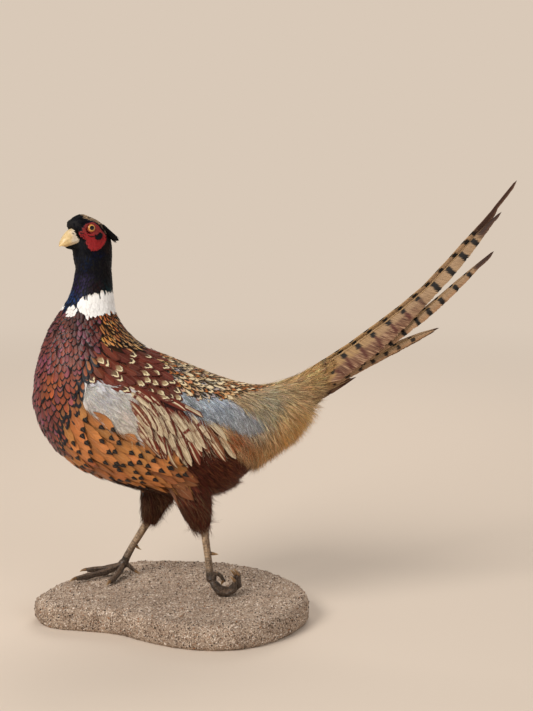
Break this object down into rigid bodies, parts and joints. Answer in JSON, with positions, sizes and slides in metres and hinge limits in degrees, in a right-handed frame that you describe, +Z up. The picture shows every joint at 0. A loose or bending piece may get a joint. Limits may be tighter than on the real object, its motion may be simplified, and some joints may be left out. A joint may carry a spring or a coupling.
{
  "type": "taxidermy ring-necked pheasant on base",
  "caption": "Mounted cock pheasant standing in mid stride on a sand-dressed slab, head turned to its left, long tail raised behind.",
  "frame": {"origin": "on the underside of the base, below the middle of the bird's body", "axes": "+Z up, +Y from the breast towards the tail, +X to the bird's left"},
  "size_m": [0.2872, 0.6274, 0.5744],
  "materials": {
    "base_grit": "rough sand and fine gravel dressed over a cast slab",
    "black_plumage": "short close feathers, black with a faint green and violet gloss",
    "neck_plumage": "small overlapping feathers, blue-black, glossy, with a ragged white ring low down",
    "body_plumage": "copper and gold contour feathers edged in black",
    "wing_plumage": "silver-grey coverts over maroon and cream streaked quills",
    "rump_plumage": "long loose hair-like feathers, grey-blue shading to olive gold",
    "thigh_plumage": "dark brown loose downy feathers",
    "tail_plumage": "stiff flat feathers, tan with dark cross bars",
    "wattle_skin": "bare skin beset with tiny red papillae",
    "bill_horn": "smooth ivory horn",
    "claw_horn": "translucent brown horn",
    "leg_scale": "overlapping grey-brown scutes",
    "toe_scale": "dark scaled toe skin",
    "eye_glass": "polished glass eye, amber iris and black pupil"
  },
  "bodies": {
    "root": {"base_slab": "base_grit", "head": "black_plumage", "neck": "neck_plumage", "trunk": "body_plumage", "tail_coverts": "rump_plumage", "bill_upper": "bill_horn", "bill_lower": "bill_horn", "eye_left": "eye_glass", "wattle_left": "wattle_skin", "ear_tuft_left": "black_plumage", "wing_left": "wing_plumage", "thigh_left": "thigh_plumage", "tarsus_left": "leg_scale", "foot_left": "toe_scale", "claw_left_1": "claw_horn", "claw_left_2": "claw_horn", "claw_left_3": "claw_horn", "claw_left_4": "claw_horn", "spur_left": "claw_horn", "tail_centre_left": "tail_plumage", "tail_second_left": "tail_plumage", "tail_third_left": "tail_plumage", "tail_outer_left": "tail_plumage", "eye_right": "eye_glass", "wattle_right": "wattle_skin", "ear_tuft_right": "black_plumage", "wing_right": "wing_plumage", "thigh_right": "thigh_plumage", "tarsus_right": "leg_scale", "foot_right": "toe_scale", "claw_right_1": "claw_horn", "claw_right_2": "claw_horn", "claw_right_3": "claw_horn", "claw_right_4": "claw_horn", "spur_right": "claw_horn", "tail_centre_right": "tail_plumage", "tail_second_right": "tail_plumage", "tail_third_right": "tail_plumage", "tail_outer_right": "tail_plumage"}
  },
  "joints": []
}
